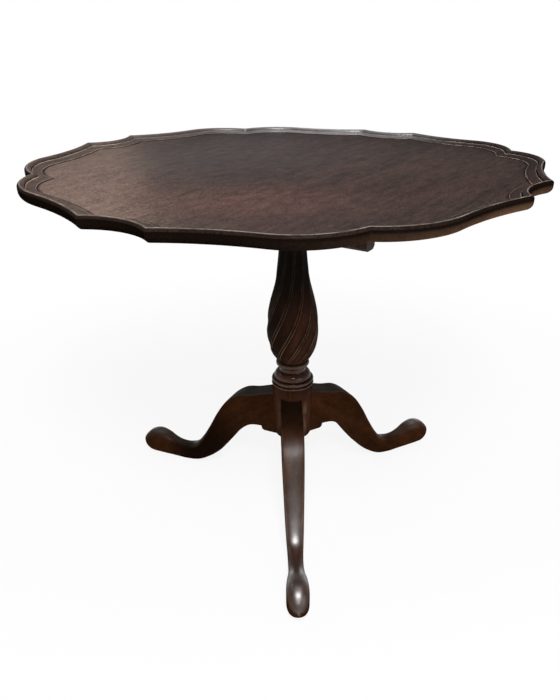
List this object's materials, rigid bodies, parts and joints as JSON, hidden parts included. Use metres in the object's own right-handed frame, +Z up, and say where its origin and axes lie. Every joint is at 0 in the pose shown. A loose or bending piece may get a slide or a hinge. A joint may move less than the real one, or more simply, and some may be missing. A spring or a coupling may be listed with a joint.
{
  "type": "tray top tea table",
  "caption": "Tripod tea table with a scalloped dished tray top that tilts on a block, a spiral-reeded pillar and cabriole legs.",
  "frame": {"origin": "on the floor, under the centre of the tray top", "axes": "+Z up; -Y along the front leg; the catch is on the side -33.2 degrees about +Z from +X, and the tray tilts up from there"},
  "size_m": [0.9226, 0.9226, 0.706],
  "materials": {
    "tray_wood": "old polished dark mahogany, worn lighter on the edges of the rim",
    "pillar_wood": "old polished dark mahogany with blackened hollows",
    "leg_wood": "old polished dark mahogany",
    "frame_wood": "dry unpolished mahogany, darkened by age",
    "plate_iron": "dark wrought iron",
    "pin_iron": "dark forged iron, worn bright by turning",
    "screw_steel": "aged steel",
    "catch_brass": "aged brass"
  },
  "bodies": {
    "base": {"catch_keeper": "catch_brass", "keeper_screw_1": "catch_brass", "keeper_screw_2": "catch_brass", "leg_front": "leg_wood", "leg_left": "leg_wood", "leg_right": "leg_wood", "pillar": "pillar_wood", "pivot_block": "frame_wood", "pivot_pin_far": "pin_iron", "pivot_pin_near": "pin_iron", "plate_screw_front": "screw_steel", "plate_screw_left": "screw_steel", "plate_screw_right": "screw_steel", "spider_plate": "plate_iron", "tenon_wedge": "frame_wood"},
    "top": {"bearer_far": "frame_wood", "bearer_near": "frame_wood", "bearer_screw_1": "screw_steel", "bearer_screw_2": "screw_steel", "bearer_screw_3": "screw_steel", "bearer_screw_4": "screw_steel", "bearer_screw_5": "screw_steel", "bearer_screw_6": "screw_steel", "catch_case": "catch_brass", "catch_screw_1": "catch_brass", "catch_screw_2": "catch_brass", "catch_screw_3": "catch_brass", "catch_screw_4": "catch_brass", "tray_top": "tray_wood"},
    "bolt": {"catch_bolt": "catch_brass", "catch_knob": "catch_brass"}
  },
  "joints": [
    {"name": "top_tilt", "type": "hinge", "parent": "base", "child": "top", "pos_m": [-0.07447, 0.04873, 0.6627], "axis": [-0.5476, -0.8368, 0], "range_deg": [0, 90]},
    {"name": "catch_slide", "type": "slide", "parent": "top", "child": "bolt", "axis": [0.8368, -0.5476, 0], "range_m": [0, 0.01]}
  ]
}
